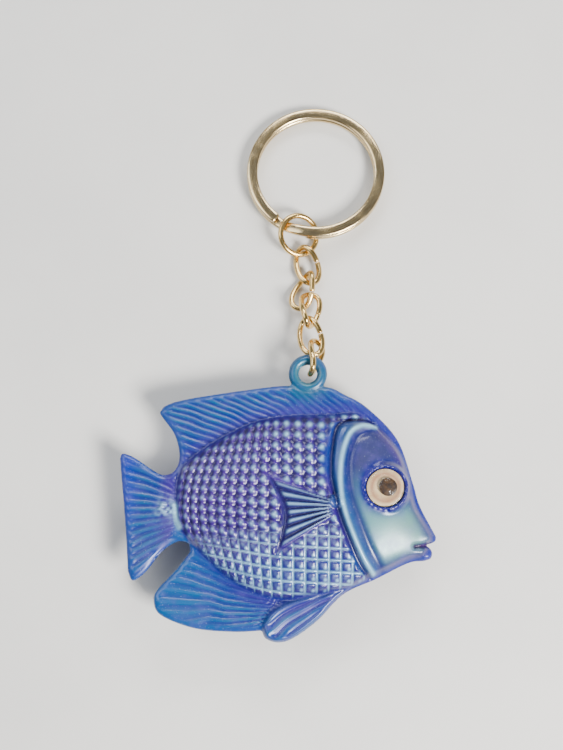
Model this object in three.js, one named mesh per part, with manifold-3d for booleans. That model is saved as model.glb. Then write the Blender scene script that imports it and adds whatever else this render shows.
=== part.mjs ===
// A souvenir keychain lying flat: split key ring, jump ring, five twisted chain links and a hollow fish.
// Millimetres, +Z up. +X is where the fish looks, +Y runs from the fish to the key ring.
import * as THREE from "three";
import { mergeVertices } from "three/addons/utils/BufferGeometryUtils.js";
import ManifoldModule from "manifold-3d";

const wasm = await ManifoldModule();
wasm.setup();

// ---- Driving dimensions ----

// Split key ring: flat wire, about two turns, one layer on the other
const KEY_RING_OUTER_RADIUS = 12.5;
const KEY_WIRE_WIDTH = 1.93;
const KEY_WIRE_THICKNESS = 0.98;
const KEY_WIRE_ROUNDING = 0.3;
const LAYER_PITCH = 1.02;
const CROSSOVER_START_DEG = 232;
const CROSSOVER_END_DEG = 261;
const KEY_RING_TILT_DEG = 4;
const KEY_RING_STEPS = 64;

// Round wire of the jump ring and of the chain
const WIRE_DIAMETER = 1.0;
const WIRE_SIDES = 8;
const SEAM_GAP = 0.12;
const JUMP_RING_OUTER_DIAMETER = 8.0;
const JUMP_RING_STEPS = 26;
const LINK_WIDTH = 4.8;
const LINK_LENGTH = 7.8;
const LINK_TWIST_DEG = 66;
const LINK_SQUARENESS = 2.4;
const LINK_STEPS = 28;

// Fish: thickness, fins and hanging loop
const FISH_HALF_THICKNESS = 6.2;
const DOME_HEIGHT = 6.3;
const WALL = 1.6;
const FIN_HALF_THICKNESS = 1.0;
const BODY_MIDDLE = [1.5, -0.8];
const BODY_HALF_LENGTH = 20.4;
const BODY_HALF_WIDTH = 15.6;
const BODY_TILT_DEG = -6;
const HEAD_MIDDLE = [13.0, -2.5];
const HEAD_HALF_LENGTH = 9.2;
const HEAD_HALF_WIDTH = 9.6;
const HEAD_HEIGHT = 4.9;
const PILLOW_EXPONENT = 2.6;
const BODY_SEGMENTS = 28;
const HEAD_SEGMENTS = 20;
const HOLLOW_SEGMENTS = 20;
const LOOP_CENTRE = [3.1, 21.5];
const LOOP_OUTER_RADIUS = 3.3;
const LOOP_HOLE_RADIUS = 1.6;
const LOOP_HALF_THICKNESS = 1.0;
const LOOP_SEGMENTS = 28;
const LOOP_SECTION_SEGMENTS = 10;

// Googly eyes: backing disc, loose pupil, clear dome with a flange
const EYE_CENTRE = [15.7, 1.9];
const EYE_RADIUS = 3.1;
const EYE_SOCKET_CLEARANCE = 0.1;
const EYE_SOCKET_FLOOR = 3.6;
const BACKING_THICKNESS = 0.5;
const FLANGE_THICKNESS = 0.3;
const EYE_DOME_RADIUS = 2.35;
const EYE_DOME_HEIGHT = 1.55;
const EYE_DOME_WALL = 0.3;
const DOME_RINGS = 5;
const EYE_FIT_GAP = 0.03;
const PUPIL_RADIUS = 1.5;
const PUPIL_THICKNESS = 0.5;
const PUPIL_OFFSET = [0.4, 0.1];
const PUPIL_BEVEL = 0.1;
const EYE_SEGMENTS = 24;

// ---- Materials ----

function finish(color, roughness, metalness, opacity = 1) {
  return new THREE.MeshStandardMaterial({
    color, roughness, metalness, opacity, transparent: opacity < 1,
  });
}

const materials = {
  keyRing: finish(0xc9c3b4, 0.25, 1),
  chain: finish(0xcdc3a5, 0.3, 1),
  body: finish(0x4f7fc4, 0.35, 0),
  backing: finish(0xf2eddd, 0.6, 0),
  pupil: finish(0x1b1210, 0.4, 0),
  clear: finish(0xf4f6f8, 0.08, 0, 0.3),
};

// ---- Helpers: joins and cuts ----

function solidFrom(geometry) {
  const bare = geometry.clone();
  for (const name of ["normal", "uv"]) bare.deleteAttribute(name);
  const merged = mergeVertices(bare, 1e-5);
  return new wasm.Manifold(new wasm.Mesh({
    numProp: 3,
    vertProperties: new Float32Array(merged.attributes.position.array),
    triVerts: new Uint32Array(merged.index.array),
  }));
}

function geometryFrom(solid) {
  const mesh = solid.getMesh();
  const geometry = new THREE.BufferGeometry();
  geometry.setAttribute("position", new THREE.BufferAttribute(new Float32Array(mesh.vertProperties), 3));
  geometry.setIndex(new THREE.BufferAttribute(new Uint32Array(mesh.triVerts), 1));
  geometry.computeVertexNormals();
  return geometry;
}

// The same shape seen in the fish's middle plane
function mirrored(geometry) {
  const copy = geometry.clone();
  copy.scale(1, 1, -1);
  if (!copy.index) copy.setIndex([...Array(copy.attributes.position.count).keys()]);
  const corners = copy.index.array;
  for (let i = 0; i < corners.length; i += 3) {
    [corners[i + 1], corners[i + 2]] = [corners[i + 2], corners[i + 1]];
  }
  copy.computeVertexNormals();
  return copy;
}

function piece(name, geometry, material) {
  const mesh = new THREE.Mesh(geometry, material);
  mesh.name = name;
  return mesh;
}

// ---- Helpers: wire bent along a path ----

// A path whose cross-section keeps one axis as near as it can to the direction sideAt(u)
class WirePath extends THREE.Curve {
  constructor(pointAt, sideAt) {
    super();
    this.pointAt = pointAt;
    this.sideAt = sideAt;
  }

  getPoint(u, target = new THREE.Vector3()) {
    return target.copy(this.pointAt(u));
  }

  computeFrenetFrames(steps) {
    const frames = { tangents: [], normals: [], binormals: [] };
    for (let i = 0; i <= steps; i += 1) {
      const u = this.getUtoTmapping(i / steps);
      const tangent = this.getTangent(u);
      const binormal = new THREE.Vector3().crossVectors(tangent, this.sideAt(u)).normalize();
      frames.tangents.push(tangent);
      frames.binormals.push(binormal);
      frames.normals.push(new THREE.Vector3().crossVectors(binormal, tangent).normalize());
    }
    return frames;
  }
}

function roundSection(radius, sides) {
  const section = new THREE.Shape();
  for (let i = 0; i < sides; i += 1) {
    const angle = (2 * Math.PI * (i + 0.5)) / sides;
    const x = radius * Math.cos(angle);
    const y = radius * Math.sin(angle);
    if (i === 0) section.moveTo(x, y);
    else section.lineTo(x, y);
  }
  return section;
}

// A rectangle with bevelled corners: width across, thickness up
function flatSection(width, thickness, corner) {
  const w = width / 2;
  const t = thickness / 2;
  const section = new THREE.Shape();
  section.moveTo(w, t - corner);
  section.lineTo(w - corner, t);
  section.lineTo(-w + corner, t);
  section.lineTo(-w, t - corner);
  section.lineTo(-w, -t + corner);
  section.lineTo(-w + corner, -t);
  section.lineTo(w - corner, -t);
  section.lineTo(w, -t + corner);
  return section;
}

function bentWire(section, path, steps) {
  return new THREE.ExtrudeGeometry(section, { extrudePath: path, steps });
}

// ---- Key ring, jump ring and chain links ----

function splitKeyRingGeometry() {
  const radius = KEY_RING_OUTER_RADIUS - KEY_WIRE_WIDTH / 2;
  const start = CROSSOVER_END_DEG;
  const rampStart = CROSSOVER_START_DEG + 360;
  const rampEnd = CROSSOVER_END_DEG + 360;
  const end = CROSSOVER_START_DEG + 720;
  const angleAt = (u) => THREE.MathUtils.degToRad(start + u * (end - start));
  const pointAt = (u) => {
    const angle = angleAt(u);
    const degrees = THREE.MathUtils.radToDeg(angle);
    const layer = THREE.MathUtils.smoothstep(degrees, rampStart, rampEnd) - 0.5;
    return new THREE.Vector3(radius * Math.cos(angle), radius * Math.sin(angle), LAYER_PITCH * layer);
  };
  const outwardAt = (u) => new THREE.Vector3(Math.cos(angleAt(u)), Math.sin(angleAt(u)), 0);
  const section = flatSection(KEY_WIRE_WIDTH, KEY_WIRE_THICKNESS, KEY_WIRE_ROUNDING);
  return bentWire(section, new WirePath(pointAt, outwardAt), KEY_RING_STEPS);
}

function jumpRingGeometry() {
  const radius = (JUMP_RING_OUTER_DIAMETER - WIRE_DIAMETER) / 2;
  const halfSeam = SEAM_GAP / 2 / radius;
  const angleAt = (u) => halfSeam + u * (2 * Math.PI - 2 * halfSeam);
  const outwardAt = (u) => new THREE.Vector3(Math.cos(angleAt(u)), Math.sin(angleAt(u)), 0);
  const pointAt = (u) => outwardAt(u).multiplyScalar(radius);
  const section = roundSection(WIRE_DIAMETER / 2, WIRE_SIDES);
  return bentWire(section, new WirePath(pointAt, outwardAt), JUMP_RING_STEPS);
}

// A long oval (a superellipse) of round wire, twisted about its long axis so that neighbours lock together
function linkGeometry() {
  const halfWidth = (LINK_WIDTH - WIRE_DIAMETER) / 2;
  const halfLength = (LINK_LENGTH - WIRE_DIAMETER) / 2;
  const halfTwist = THREE.MathUtils.degToRad(LINK_TWIST_DEG) / 2;
  const squared = (v) => Math.sign(v) * Math.abs(v) ** (2 / LINK_SQUARENESS);
  const halfSeam = (SEAM_GAP / 2 / halfLength) ** (LINK_SQUARENESS / 2);
  const angleAt = (u) => halfSeam + u * (2 * Math.PI - 2 * halfSeam);
  const pointAt = (u) => {
    const across = halfWidth * squared(Math.cos(angleAt(u)));
    const along = squared(Math.sin(angleAt(u)));
    const twist = halfTwist * along;
    return new THREE.Vector3(across * Math.cos(twist), halfLength * along, across * Math.sin(twist));
  };
  const outwardAt = (u) => pointAt(u).normalize();
  const section = roundSection(WIRE_DIAMETER / 2, WIRE_SIDES);
  return bentWire(section, new WirePath(pointAt, outwardAt), LINK_STEPS);
}

// ---- Fish ----

// Side view of the whole fish, nose to +X; the loop boss is added to it separately
function fishOutline() {
  const points = (pairs) => pairs.map(([x, y]) => new THREE.Vector2(x, y));
  const outline = new THREE.Shape();
  // Tail: upper tip, then forward to the notch under the back fin
  outline.moveTo(-28.8, 7.9);
  outline.splineThru(points([[-26.2, 7.0], [-23.5, 5.2], [-21.5, 4.2]]));
  outline.splineThru(points([[-19.6, 4.8], [-18.7, 7.3], [-19.6, 11.0], [-22.4, 14.9]]));
  // Back fin up to the loop, then the forehead down to the nose
  outline.splineThru(points([[-21.2, 16.2], [-17.0, 17.2], [-5.7, 18.9], [-0.4, 19.4]]));
  outline.lineTo(6.2, 19.2);
  outline.splineThru(points([[9.3, 17.9], [13.2, 15.6], [18.2, 10.2], [20.7, 2.9], [21.8, -1.0], [24.4, -6.1]]));
  // Open mouth, lower lip and chin
  outline.quadraticCurveTo(24.2, -7.2, 23.2, -7.1);
  outline.lineTo(20.9, -7.3);
  outline.lineTo(22.4, -8.3);
  outline.quadraticCurveTo(24.0, -9.4, 22.4, -10.1);
  outline.splineThru(points([[19.6, -10.5], [14.2, -13.1], [8.9, -15.5]]));
  // Belly fin, then the long fin under the tail
  outline.splineThru(points([[4.6, -19.7], [0.7, -22.5], [-1.9, -23.3], [-4.0, -22.7], [-4.7, -21.4]]));
  outline.splineThru(points([[-9.4, -21.6], [-15.9, -21.0], [-21.4, -18.9], [-22.6, -16.5]]));
  outline.splineThru(points([[-21.9, -14.6], [-19.0, -11.6], [-16.7, -8.6]]));
  // Notch, then the lower tail tip and the tail's rear edge
  outline.splineThru(points([[-17.0, -7.2], [-18.9, -6.9], [-21.5, -8.6], [-24.0, -11.8], [-26.1, -13.3]]));
  outline.quadraticCurveTo(-27.0, -13.0, -27.0, -11.8);
  outline.lineTo(-27.9, -1.2);
  outline.lineTo(-28.8, 7.9);
  return outline;
}

const RIM_TOLERANCE = 1e-6;

// A pillow shape about the middle plane: round in plan, swelling quickly at its rim, flat at its crown
function pillowSolid({ centre, halfLength, halfWidth, height, crown, tiltDeg, segments }) {
  const geometry = new THREE.SphereGeometry(1, segments, segments / 2);
  geometry.rotateX(Math.PI / 2);
  const position = geometry.attributes.position;
  for (let i = 0; i < position.count; i += 1) {
    const spread = Math.min(1, Math.hypot(position.getX(i), position.getY(i)));
    const onRim = Math.abs(position.getZ(i)) < RIM_TOLERANCE;
    const side = onRim ? 0 : Math.sign(position.getZ(i));
    const rise = side * Math.sqrt(Math.max(0, 1 - spread ** PILLOW_EXPONENT));
    const lift = THREE.MathUtils.clamp(height * rise, -crown, crown);
    position.setXYZ(i, halfLength * position.getX(i), halfWidth * position.getY(i), lift);
  }
  geometry.rotateZ(THREE.MathUtils.degToRad(tiltDeg));
  geometry.translate(centre[0], centre[1], 0);
  return solidFrom(geometry);
}

// Ring round the loop's hole, oval in section
function loopSolid() {
  const halfBand = (LOOP_OUTER_RADIUS - LOOP_HOLE_RADIUS) / 2;
  const geometry = new THREE.TorusGeometry(
    LOOP_OUTER_RADIUS - halfBand, halfBand, LOOP_SECTION_SEGMENTS, LOOP_SEGMENTS,
  );
  geometry.scale(1, 1, LOOP_HALF_THICKNESS / halfBand);
  geometry.translate(LOOP_CENTRE[0], LOOP_CENTRE[1], 0);
  return solidFrom(geometry);
}

function cylinderSolid(radius, [x, y], zLow, zHigh) {
  const geometry = new THREE.CylinderGeometry(radius, radius, zHigh - zLow, LOOP_SEGMENTS);
  geometry.rotateX(Math.PI / 2);
  geometry.translate(x, y, (zLow + zHigh) / 2);
  return solidFrom(geometry);
}

// Right half of the fish: everything above the middle plane, hollow and open towards the other half
function shellGeometry() {
  const body = {
    centre: BODY_MIDDLE,
    halfLength: BODY_HALF_LENGTH,
    halfWidth: BODY_HALF_WIDTH,
    height: DOME_HEIGHT,
    crown: FISH_HALF_THICKNESS,
    tiltDeg: BODY_TILT_DEG,
    segments: BODY_SEGMENTS,
  };
  const head = {
    centre: HEAD_MIDDLE,
    halfLength: HEAD_HALF_LENGTH,
    halfWidth: HEAD_HALF_WIDTH,
    height: HEAD_HEIGHT,
    crown: HEAD_HEIGHT,
    tiltDeg: 0,
    segments: HEAD_SEGMENTS,
  };
  const hollow = {
    ...body,
    centre: [BODY_MIDDLE[0] - 1.5, BODY_MIDDLE[1]],
    halfLength: BODY_HALF_LENGTH - 3,
    halfWidth: BODY_HALF_WIDTH - 2,
    height: DOME_HEIGHT - WALL,
    crown: DOME_HEIGHT - WALL,
    segments: HOLLOW_SEGMENTS,
  };
  const fins = new THREE.ExtrudeGeometry(fishOutline(), {
    depth: 2 * FIN_HALF_THICKNESS,
    bevelEnabled: false,
    curveSegments: 2,
  });
  fins.translate(0, 0, -FIN_HALF_THICKNESS);
  const loopHole = cylinderSolid(LOOP_HOLE_RADIUS, LOOP_CENTRE, -2 * LOOP_HALF_THICKNESS, 2 * LOOP_HALF_THICKNESS);
  const socketRadius = EYE_RADIUS + EYE_SOCKET_CLEARANCE;
  const socket = cylinderSolid(socketRadius, EYE_CENTRE, EYE_SOCKET_FLOOR, FISH_HALF_THICKNESS + 1);
  // Everything below the middle plane, with room to spare all round
  const otherHalf = new THREE.BoxGeometry(4 * BODY_HALF_LENGTH, 4 * BODY_HALF_WIDTH, 2 * DOME_HEIGHT);
  otherHalf.translate(0, 0, -DOME_HEIGHT);
  return geometryFrom(
    solidFrom(fins)
      .add(pillowSolid(body))
      .add(pillowSolid(head))
      .subtract(loopHole)
      .add(loopSolid())
      .subtract(pillowSolid(hollow))
      .subtract(socket)
      .subtract(solidFrom(otherHalf)),
  );
}

function latheAboutEye(profile, zBase) {
  const closed = profile.map(([r, z]) => new THREE.Vector2(r, z));
  const geometry = new THREE.LatheGeometry(closed, EYE_SEGMENTS);
  geometry.rotateX(Math.PI / 2);
  geometry.translate(EYE_CENTRE[0], EYE_CENTRE[1], zBase);
  return geometry;
}

const backingFloor = EYE_SOCKET_FLOOR + EYE_FIT_GAP;
const flangeFloor = backingFloor + BACKING_THICKNESS + EYE_FIT_GAP;

function eyeBackingGeometry() {
  const profile = [[0, 0], [EYE_RADIUS, 0], [EYE_RADIUS, BACKING_THICKNESS], [0, BACKING_THICKNESS]];
  return latheAboutEye(profile, backingFloor);
}

// Clear cap: flat flange, round dome of even wall thickness, open underneath
function eyeDomeGeometry() {
  const arc = (radius, height, steps) => Array.from({ length: steps + 1 }, (_, i) => {
    const angle = (Math.PI / 2) * (i / steps);
    return [radius * Math.cos(angle), height * Math.sin(angle)];
  });
  const inner = arc(EYE_DOME_RADIUS - EYE_DOME_WALL, EYE_DOME_HEIGHT - EYE_DOME_WALL + FLANGE_THICKNESS, DOME_RINGS);
  const outer = arc(EYE_DOME_RADIUS, EYE_DOME_HEIGHT, DOME_RINGS).map(([r, z]) => [r, z + FLANGE_THICKNESS]);
  inner[DOME_RINGS][0] = 0;
  outer[DOME_RINGS][0] = 0;
  const profile = [...inner.reverse(), [EYE_RADIUS, 0], [EYE_RADIUS, FLANGE_THICKNESS], ...outer];
  return latheAboutEye(profile, flangeFloor);
}

function pupilGeometry() {
  const flat = PUPIL_RADIUS - PUPIL_BEVEL;
  const side = PUPIL_THICKNESS - PUPIL_BEVEL;
  const profile = [
    [0, 0], [flat, 0], [PUPIL_RADIUS, PUPIL_BEVEL], [PUPIL_RADIUS, side], [flat, PUPIL_THICKNESS], [0, PUPIL_THICKNESS],
  ];
  const geometry = latheAboutEye(profile, flangeFloor);
  geometry.translate(PUPIL_OFFSET[0], PUPIL_OFFSET[1], 0);
  return geometry;
}

// ---- Assembly: fish at the origin, everything else placed from its middle plane ----

// Centre and Euler angles (degrees, XYZ) of the jump ring, then of each link towards the fish
const jumpRingPose = { at: [1.69, 47.44, 2.21], turnDeg: [8, 22, -8] };
const linkPoses = [
  { at: [3.17, 42.01, 1.48], turnDeg: [3, -13, 17] },
  { at: [2.54, 37.25, 1.98], turnDeg: [-15, -36, -24] },
  { at: [3.55, 33.47, 3.48], turnDeg: [-22, 39, -10] },
  { at: [3.6, 28.37, 4.44], turnDeg: [-6, -18, 14] },
  { at: [4.29, 24.53, 5.52], turnDeg: [1, 69, -33] },
];

function place(mesh, { at, turnDeg }) {
  mesh.position.set(...at);
  mesh.rotation.set(...turnDeg.map(THREE.MathUtils.degToRad));
  return mesh;
}

const keychain = new THREE.Group();

const KEY_RING_MIDDLE = [4.8, 59.2];
const keyRingTilt = THREE.MathUtils.degToRad(KEY_RING_TILT_DEG);
const keyRingHalfThickness = (LAYER_PITCH + KEY_WIRE_THICKNESS) / 2;
const keyRingHeight = KEY_RING_OUTER_RADIUS * Math.sin(keyRingTilt) + keyRingHalfThickness * Math.cos(keyRingTilt);
keychain.add(place(piece("split_key_ring", splitKeyRingGeometry(), materials.keyRing), {
  at: [...KEY_RING_MIDDLE, keyRingHeight],
  turnDeg: [-KEY_RING_TILT_DEG, 0, 0],
}));

keychain.add(place(piece("jump_ring", jumpRingGeometry(), materials.chain), jumpRingPose));
linkPoses.forEach((pose, i) => {
  keychain.add(place(piece(`chain_link_${i + 1}`, linkGeometry(), materials.chain), pose));
});

const fish = new THREE.Group();
fish.position.z = FISH_HALF_THICKNESS;
const fishPieces = [
  ["body_shell", shellGeometry(), materials.body],
  ["eye_backing", eyeBackingGeometry(), materials.backing],
  ["eye_pupil", pupilGeometry(), materials.pupil],
  ["eye_dome", eyeDomeGeometry(), materials.clear],
];
for (const [name, geometry, material] of fishPieces) {
  fish.add(piece(`${name}_right`, geometry, material));
  fish.add(piece(`${name}_left`, mirrored(geometry), material));
}
keychain.add(fish);

// Origin at the middle of the whole object's footprint, on the surface that it lies on
const bounds = new THREE.Box3().setFromObject(keychain, true);
const middle = bounds.getCenter(new THREE.Vector3());
keychain.position.set(-middle.x, -middle.y, -bounds.min.z);

export default keychain;
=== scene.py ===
"""A souvenir fish keychain on a pale floor: the looks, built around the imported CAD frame.

Shapes are worked out in millimetres and turned into metres when a mesh is made. The fish's own frame has its
origin near the middle of the body, +X towards the nose, +Y towards the hanging loop and z = 0 on the middle
plane between its two halves.
"""

import math

import bpy
import numpy as np
from mathutils import Matrix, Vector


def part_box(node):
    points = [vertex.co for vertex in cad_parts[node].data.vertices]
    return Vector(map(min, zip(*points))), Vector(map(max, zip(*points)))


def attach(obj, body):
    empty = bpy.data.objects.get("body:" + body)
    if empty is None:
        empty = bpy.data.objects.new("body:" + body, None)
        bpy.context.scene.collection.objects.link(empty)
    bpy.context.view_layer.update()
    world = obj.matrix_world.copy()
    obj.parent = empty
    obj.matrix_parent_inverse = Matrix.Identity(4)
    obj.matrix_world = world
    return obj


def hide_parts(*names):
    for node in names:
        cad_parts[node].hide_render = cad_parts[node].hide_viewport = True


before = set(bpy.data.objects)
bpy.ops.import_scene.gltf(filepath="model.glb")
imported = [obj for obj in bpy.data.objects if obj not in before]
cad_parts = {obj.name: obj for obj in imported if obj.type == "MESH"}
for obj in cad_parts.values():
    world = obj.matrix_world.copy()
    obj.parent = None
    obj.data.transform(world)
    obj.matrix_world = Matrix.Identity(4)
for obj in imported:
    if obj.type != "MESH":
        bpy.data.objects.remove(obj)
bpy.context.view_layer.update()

MM = 0.001

# Points on a side of the random grid behind smooth_noise, which repeats after that many blotches
NOISE_LATTICE = 64

# Millimetres along a wire for each unit of its wire attribute
WIRE_PATTERN_LENGTH = 10

# ---------------------------------------------------------------- helpers: numbers


def smoothstep(low, high, value):
    t = np.clip((value - low) / (high - low), 0.0, 1.0)
    return t * t * (3 - 2 * t)


def bump(distance, width):
    """1 on a line or point, falling away smoothly over about the width."""
    return np.exp(-((distance / width) ** 2))


def mix(a, b, amount):
    return a + (b - a) * amount


def spline(points, steps=10):
    """A smooth curve through the points (Catmull-Rom), as an array of points."""
    p = np.array(points, float)
    p = np.vstack([2 * p[0] - p[1], p, 2 * p[-1] - p[-2]])
    t = np.arange(steps)[:, None] / steps
    spans = []
    for a, b, c, d in zip(p, p[1:], p[2:], p[3:]):
        bend = (2 * b) + (c - a) * t + (2 * a - 5 * b + 4 * c - d) * t**2 + (3 * b - a - 3 * c + d) * t**3
        spans.append(bend / 2)
    return np.vstack(spans + [p[-2:-1]])


def distance_to(line, x, y):
    """Distance from every grid point to a line of points."""
    best = np.full(x.shape, 1e9)
    for (ax, ay), (bx, by) in zip(line[:-1], line[1:]):
        dx, dy = bx - ax, by - ay
        along = np.clip(((x - ax) * dx + (y - ay) * dy) / (dx * dx + dy * dy + 1e-12), 0, 1)
        best = np.minimum(best, np.hypot(x - ax - along * dx, y - ay - along * dy))
    return best


def inside(outline, x, y):
    """True where a grid point is inside a closed outline."""
    odd = np.zeros(x.shape, bool)
    for (ax, ay), (bx, by) in zip(outline, np.roll(outline, -1, axis=0)):
        if ay != by:
            crosses = (ay > y) != (by > y)
            odd ^= crosses & (x < (bx - ax) * (y - ay) / (by - ay) + ax)
    return odd


def depth_inside(outline, x, y):
    """Distance to a closed outline: positive inside it, negative outside."""
    edge = distance_to(np.vstack([outline, outline[:1]]), x, y)
    return np.where(inside(outline, x, y), edge, -edge)


def smooth_noise(x, y, size, seed):
    """Soft random blotches between 0 and 1, about size across."""
    n = NOISE_LATTICE
    lattice = np.random.default_rng(seed).random((n, n))
    u, v = x / size + n / 2, y / size + n / 2
    i, j = np.floor(u).astype(int), np.floor(v).astype(int)
    fu, fv = smoothstep(0, 1, u - i), smoothstep(0, 1, v - j)
    near = mix(lattice[i % n, j % n], lattice[(i + 1) % n, j % n], fu)
    far = mix(lattice[i % n, (j + 1) % n], lattice[(i + 1) % n, (j + 1) % n], fu)
    return mix(near, far, fv)


def linear(r, g, b):
    """A colour given as 0-255 screen values, as the light values that shaders use."""
    screen = np.array([r, g, b], float) / 255
    return np.where(screen <= 0.04045, screen / 12.92, ((screen + 0.055) / 1.055) ** 2.4)


# ---------------------------------------------------------------- helpers: meshes


def mesh_object(name, verts, faces, material, paint=None):
    """A smooth-shaded mesh from points in metres.

    paint is an optional set of named attributes, each with a colour for every point.
    """
    mesh = bpy.data.meshes.new(name)
    mesh.from_pydata([tuple(v) for v in verts], [], [tuple(int(i) for i in f) for f in faces])
    mesh.polygons.foreach_set("use_smooth", np.ones(len(mesh.polygons), bool))
    for label, values in (paint or {}).items():
        layer = mesh.attributes.new(label, "FLOAT_COLOR", "POINT")
        layer.data.foreach_set("color", np.ascontiguousarray(values, np.float32).ravel())
    mesh.materials.append(material)
    mesh.update()
    obj = bpy.data.objects.new(name, mesh)
    bpy.context.scene.collection.objects.link(obj)
    return obj


def sweep(path, across, section, ends=0.82):
    """Points, faces and wire attribute of a bar whose section follows a path.

    across is the section's first axis at each point of the path. The last two sections at each end
    are drawn in a little, so that the cut ends are rounded over.
    """
    tangent = np.gradient(path, axis=0)
    tangent /= np.linalg.norm(tangent, axis=1)[:, None]
    up = np.cross(tangent, across)
    up /= np.linalg.norm(up, axis=1)[:, None]
    side = np.cross(up, tangent)
    shrink = np.ones(len(path))
    shrink[[0, -1]] = ends
    shrink[[1, -2]] = mix(ends, 1, 0.8)
    rings = path[:, None] + shrink[:, None, None] * (
        section[None, :, :1] * side[:, None] + section[None, :, 1:] * up[:, None]
    )
    n = len(section)
    faces = []
    for i in range(len(path) - 1):
        for j in range(n):
            k = (j + 1) % n
            faces.append((i * n + j, i * n + k, (i + 1) * n + k, (i + 1) * n + j))
    last = (len(path) - 1) * n
    faces.append(tuple(range(n))[::-1])
    faces.append(tuple(last + j for j in range(n)))
    travel = np.append(0, np.cumsum(np.linalg.norm(np.diff(path, axis=0), axis=1)))
    reach = np.linalg.norm(section, axis=1).max()
    wire = np.empty((len(path), n, 4))
    wire[:, :, :2] = section / reach
    wire[:, :, 2] = travel[:, None] / WIRE_PATTERN_LENGTH
    wire[:, :, 3] = 1
    return rings.reshape(-1, 3), faces, wire.reshape(-1, 4)


def lathe(profile, steps=72):
    """Points and faces of a profile of (radius, height) turned about the Z axis."""
    verts, faces, rows = [], [], []
    for radius, height in profile:
        if radius < 1e-9:
            rows.append([len(verts)] * steps)
            verts.append((0, 0, height))
            continue
        rows.append(list(range(len(verts), len(verts) + steps)))
        for i in range(steps):
            angle = 2 * math.pi * i / steps
            verts.append((radius * math.cos(angle), radius * math.sin(angle), height))
    for low, high in zip(rows, rows[1:]):
        for i in range(steps):
            k = (i + 1) % steps
            face = [low[i], low[k], high[k], high[i]]
            face = [v for n, v in enumerate(face) if v != face[n - 1]]
            if len(face) > 2:
                faces.append(face)
    return np.array(verts), faces


# ---------------------------------------------------------------- helpers: materials


class Nodes:
    """Builds a material's node tree a step at a time."""

    def __init__(self, name):
        self.material = bpy.data.materials.new(name)
        self.material.use_nodes = True
        self.tree = self.material.node_tree
        self.shader = self.tree.nodes["Principled BSDF"]

    def add(self, kind, settings=None, **inputs):
        node = self.tree.nodes.new(kind)
        for key, value in (settings or {}).items():
            setattr(node, key, value)
        for key, value in inputs.items():
            self.feed(node, key.replace("_", " "), value)
        return node

    def feed(self, node, socket, value):
        if isinstance(value, bpy.types.NodeSocket):
            self.tree.links.new(value, node.inputs[socket])
        else:
            node.inputs[socket].default_value = value

    def place(self):
        return self.add("ShaderNodeTexCoord").outputs["Object"]

    def noise(self, scale, detail=3.0, roughness=0.5, vector=None):
        where = self.place() if vector is None else vector
        node = self.add("ShaderNodeTexNoise", Vector=where, Scale=scale, Detail=detail, Roughness=roughness)
        return node.outputs["Fac"]

    def ramp(self, value, low, high, to_low=0.0, to_high=1.0):
        node = self.add("ShaderNodeMapRange", {"interpolation_type": "SMOOTHSTEP"}, Value=value)
        limits = {"From Min": low, "From Max": high, "To Min": to_low, "To Max": to_high}
        for socket, number in limits.items():
            self.feed(node, socket, number)
        return node.outputs["Result"]

    def math(self, operation, a, b):
        node = self.add("ShaderNodeMath", {"operation": operation})
        self.feed(node, 0, a)
        self.feed(node, 1, b)
        return node.outputs[0]

    def blend(self, amount, a, b, kind="MIX"):
        node = self.add("ShaderNodeMix", {"data_type": "RGBA", "blend_type": kind})
        for index, value in ((0, amount), (6, a), (7, b)):
            self.feed(node, index, value)
        return node.outputs[2]

    def attribute(self, name):
        return self.add("ShaderNodeAttribute", {"attribute_name": name})

    def bump(self, height, strength, distance):
        node = self.add("ShaderNodeBump", Height=height, Strength=strength, Distance=distance * MM)
        return node.outputs["Normal"]

    def finish(self, **sockets):
        for key, value in sockets.items():
            self.feed(self.shader, key.replace("_", " "), value)
        return self.material


def rgba(*screen):
    return (*(float(v) for v in linear(*screen)), 1.0)


def metal(name, bright, dull, roughness):
    """Plated wire: a warm tint that varies a little, drawn lines along the wire and rubbed spots.

    The mesh carries the place round the wire's section and along its length as the attribute wire.
    """
    m = Nodes(name)
    wire = m.attribute("wire").outputs["Vector"]
    drawn_out = m.add("ShaderNodeMapping", Vector=wire, Scale=(26, 26, 5)).outputs["Vector"]
    lines = m.noise(1.0, 5, 0.65, drawn_out)
    blotches = m.ramp(m.noise(260, 4, 0.6), 0.35, 0.72)
    specks = m.ramp(m.noise(2600, 2, 0.5), 0.64, 0.76)
    tint = m.blend(m.ramp(lines, 0.36, 0.66), rgba(*dull), rgba(*bright))
    tint = m.blend(m.math("MULTIPLY", blotches, 0.45), tint, rgba(*dull))
    tint = m.blend(m.math("MULTIPLY", specks, 0.3), tint, rgba(*[v * 0.5 for v in dull]))
    rough = m.ramp(m.math("ADD", m.math("MULTIPLY", blotches, 0.5), m.math("MULTIPLY", lines, 0.5)),
                   0.1, 0.9, roughness, roughness + 0.14)
    return m.finish(Base_Color=tint, Metallic=1.0, Roughness=rough, Normal=m.bump(lines, 0.16, 0.05))


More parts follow.
